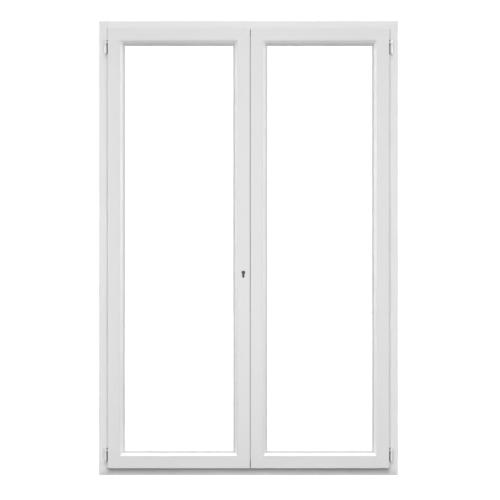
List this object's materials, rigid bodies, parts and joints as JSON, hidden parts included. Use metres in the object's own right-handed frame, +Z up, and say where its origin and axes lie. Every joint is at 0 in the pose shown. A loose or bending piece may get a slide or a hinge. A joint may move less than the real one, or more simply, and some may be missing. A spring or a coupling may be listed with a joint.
{
  "type": "french doors with frame",
  "caption": "French doors in their frame: glazed leaves of hollow white profile, barrel hinges, a keyed shoot-bolt lock on the active leaf, flush bolts on the other.",
  "frame": {"origin": "on the floor, at the middle of the frame's width and depth, at the underside of the sill", "axes": "+X across the opening from the active leaf to the passive leaf, -Y the room side towards which both leaves open, +Y the outside, +Z up"},
  "size_m": [1.4, 0.0925, 2.125],
  "materials": {
    "white_pvc": "satin",
    "galvanised_steel": "matte",
    "gasket_rubber": "matte",
    "hinge_finish": "satin",
    "bright_steel": "satin",
    "nylon": "satin",
    "glass": "polished",
    "spacer_aluminium": "satin",
    "block_plastic": "matte",
    "lock_steel": "satin",
    "nickel": "satin"
  },
  "bodies": {
    "root": {"head": "white_pvc", "left_jamb": "white_pvc", "right_jamb": "white_pvc", "sill": "white_pvc", "frame_steels": "galvanised_steel", "frame_seal": "gasket_rubber", "drain_caps": "white_pvc", "hinge_base_plates": "block_plastic", "frame_knuckles": "hinge_finish", "hinge_pins": "bright_steel", "hinge_washers": "nylon", "bolt_keeps": "lock_steel", "keep_screws": "bright_steel"},
    "left_leaf": {"left_hinge_stile": "white_pvc", "left_lock_stile": "white_pvc", "left_top_rail": "white_pvc", "left_bottom_rail": "white_pvc", "left_steels": "galvanised_steel", "left_beads": "white_pvc", "left_inner_pane": "glass", "left_outer_pane": "glass", "left_spacer": "spacer_aluminium", "left_bead_gasket": "gasket_rubber", "left_lip_gasket": "gasket_rubber", "left_glazing_blocks": "block_plastic", "left_leaf_seal": "gasket_rubber", "left_knuckles": "hinge_finish", "left_weather_bar": "white_pvc", "left_meeting_profile": "white_pvc", "left_meeting_seal": "gasket_rubber", "left_bolt_guides": "nylon", "lock_case": "lock_steel", "lock_faceplate": "lock_steel", "faceplate_screws": "bright_steel", "cylinder_body": "nickel"},
    "right_leaf": {"right_hinge_stile": "white_pvc", "right_meeting_stile": "white_pvc", "right_top_rail": "white_pvc", "right_bottom_rail": "white_pvc", "right_steels": "galvanised_steel", "right_beads": "white_pvc", "right_inner_pane": "glass", "right_outer_pane": "glass", "right_spacer": "spacer_aluminium", "right_bead_gasket": "gasket_rubber", "right_lip_gasket": "gasket_rubber", "right_glazing_blocks": "block_plastic", "right_leaf_seal": "gasket_rubber", "right_knuckles": "hinge_finish", "right_weather_bar": "white_pvc", "right_meeting_profile": "white_pvc", "right_meeting_seal": "gasket_rubber", "right_bolt_guides": "nylon", "deadbolt_keep": "lock_steel"},
    "key": {"key_plug": "nickel"},
    "deadbolt": {"deadbolt": "lock_steel"},
    "top_bolt": {"top_bolt": "lock_steel"},
    "bottom_bolt": {"bottom_bolt": "lock_steel"},
    "top_flush_bolt": {"top_flush_bolt": "lock_steel"},
    "bottom_flush_bolt": {"bottom_flush_bolt": "lock_steel"}
  },
  "joints": [
    {"name": "left_leaf_hinge", "type": "hinge", "parent": "root", "child": "left_leaf", "pos_m": [-0.668, -0.046, 0.1], "axis": [0, 0, -1], "range_deg": [0, 110]},
    {"name": "right_leaf_hinge", "type": "hinge", "parent": "root", "child": "right_leaf", "pos_m": [0.668, -0.046, 0.1], "axis": [0, 0, 1], "range_deg": [0, 110]},
    {"name": "top_bolt_slide", "type": "slide", "parent": "left_leaf", "child": "top_bolt", "axis": [0, 0, 1], "range_m": [0, 0.017]},
    {"name": "bottom_bolt_slide", "type": "slide", "parent": "left_leaf", "child": "bottom_bolt", "axis": [0, 0, -1], "range_m": [0, 0.017]},
    {"name": "deadbolt_slide", "type": "slide", "parent": "left_leaf", "child": "deadbolt", "axis": [1, 0, 0], "range_m": [0, 0.017]},
    {"name": "key_turn", "type": "hinge", "parent": "left_leaf", "child": "key", "pos_m": [-0.02395, -0.03, 0.947], "axis": [0, 1, 0], "range_deg": [0, 360]},
    {"name": "top_flush_slide", "type": "slide", "parent": "right_leaf", "child": "top_flush_bolt", "axis": [0, 0, 1], "range_m": [0, 0.017]},
    {"name": "bottom_flush_slide", "type": "slide", "parent": "right_leaf", "child": "bottom_flush_bolt", "axis": [0, 0, -1], "range_m": [0, 0.017]}
  ],
  "couplings": [
    {"joint": "bottom_bolt_slide", "follows": "top_bolt_slide", "ratio": 1},
    {"joint": "deadbolt_slide", "follows": "top_bolt_slide", "ratio": 1},
    {"joint": "key_turn", "follows": "top_bolt_slide", "rad_per_m": 369.5}
  ]
}
